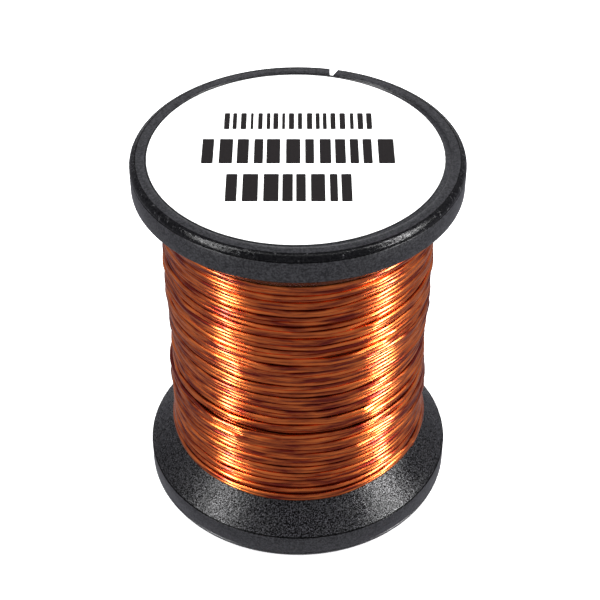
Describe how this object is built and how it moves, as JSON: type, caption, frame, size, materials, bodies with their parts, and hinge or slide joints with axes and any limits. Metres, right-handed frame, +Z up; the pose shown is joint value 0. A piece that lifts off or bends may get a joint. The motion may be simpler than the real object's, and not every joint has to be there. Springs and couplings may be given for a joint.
{
  "type": "wire spool",
  "caption": "Small black plastic spool full of fine enamelled copper wire, with conical flange faces, a wire notch in the rim and a round paper face label.",
  "frame": {"origin": "centre of the face that the spool stands on, on the spool's axis", "axes": "+Z up the spool's axis towards the labelled face, -Y the side from which the label reads upright, +X to the right seen from there"},
  "size_m": [0.028, 0.028, 0.0345],
  "materials": {
    "black_plastic": "injection-moulded ABS: satin rim, glossy shoulder, spark-eroded grain on the cones",
    "hub_plastic": "extruded ABS tube, plain",
    "inner_wire": "copper under clear reddish enamel, seen only between the outer turns",
    "enamelled_wire": "drawn copper under clear reddish enamel, glossy",
    "label_paper": "coated white sticker paper with plain printed bars"
  },
  "bodies": {
    "root": {"lower_flange": "black_plastic", "upper_flange": "black_plastic", "hub_tube": "hub_plastic", "wire_layers": "inner_wire", "wire_top_layer": "enamelled_wire", "wire_tail": "enamelled_wire", "face_label": "label_paper"}
  },
  "joints": []
}
